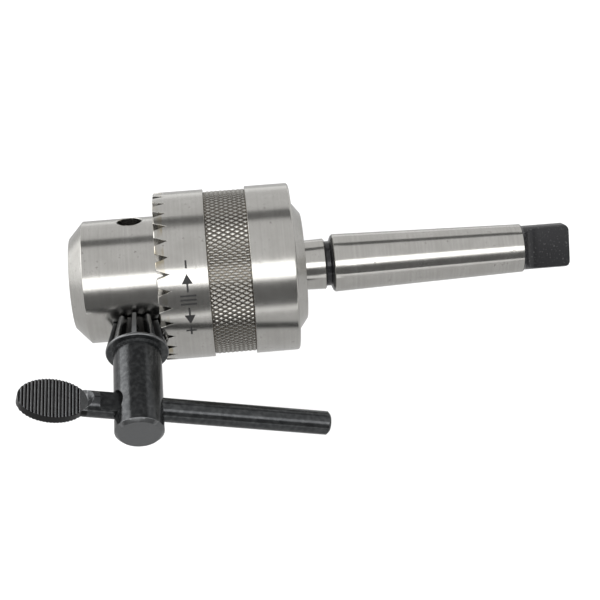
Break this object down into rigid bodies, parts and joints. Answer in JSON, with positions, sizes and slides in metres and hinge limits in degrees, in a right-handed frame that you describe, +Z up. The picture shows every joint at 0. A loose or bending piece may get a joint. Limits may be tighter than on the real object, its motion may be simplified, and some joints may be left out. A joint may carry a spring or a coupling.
{
  "type": "drill chuck",
  "caption": "Keyed three-jaw drill chuck with a geared, knurled sleeve, on a Morse-taper arbor with a tang, its T-handled chuck key seated in a pilot hole.",
  "frame": {"origin": "centre of the gauge plane of the Morse taper, on the chuck axis", "axes": "+X along the chuck axis from the nose to the tang, +Z up, the key comes out along -Y"},
  "size_m": [0.2275, 0.1128, 0.0696],
  "materials": {
    "turned_steel": "bright turned",
    "ground_steel": "ground",
    "sleeve_steel": "bright turned, knurled band",
    "nut_steel": "machined",
    "jaw_steel": "hardened and ground",
    "black_oxide": "black oxide"
  },
  "bodies": {
    "chuck": {"chuck_body": "turned_steel", "arbor": "ground_steel"},
    "sleeve": {"sleeve": "sleeve_steel", "nut_half_upper": "nut_steel", "nut_half_lower": "nut_steel"},
    "jaw_1": {"jaw_1": "jaw_steel"},
    "jaw_2": {"jaw_2": "jaw_steel"},
    "jaw_3": {"jaw_3": "jaw_steel"},
    "key": {"key_body": "black_oxide", "key_handle": "black_oxide"}
  },
  "joints": [
    {"name": "sleeve_spin", "type": "hinge", "parent": "chuck", "child": "sleeve", "pos_m": [-0.0775, 0, 0], "axis": [1, 0, 0], "range_deg": [0, 4172.8]},
    {"name": "jaw_1_slide", "type": "slide", "parent": "chuck", "child": "jaw_1", "axis": [-0.9659, 0.1294, 0.2241], "range_m": [0, 0.03477]},
    {"name": "jaw_2_slide", "type": "slide", "parent": "chuck", "child": "jaw_2", "axis": [-0.9659, -0.2588, 0], "range_m": [0, 0.03477]},
    {"name": "jaw_3_slide", "type": "slide", "parent": "chuck", "child": "jaw_3", "axis": [-0.9659, 0.1294, -0.2241], "range_m": [0, 0.03477]},
    {"name": "key_spin", "type": "hinge", "parent": "chuck", "child": "key", "pos_m": [-0.0878, -0.05, 0], "axis": [0, -1, 0], "range_deg": [-13354, 0]}
  ],
  "couplings": [
    {"joint": "jaw_1_slide", "follows": "sleeve_spin", "m_per_rad": 0.00047746},
    {"joint": "jaw_2_slide", "follows": "sleeve_spin", "m_per_rad": 0.00047746},
    {"joint": "jaw_3_slide", "follows": "sleeve_spin", "m_per_rad": 0.00047746},
    {"joint": "key_spin", "follows": "sleeve_spin", "ratio": -3.2}
  ]
}
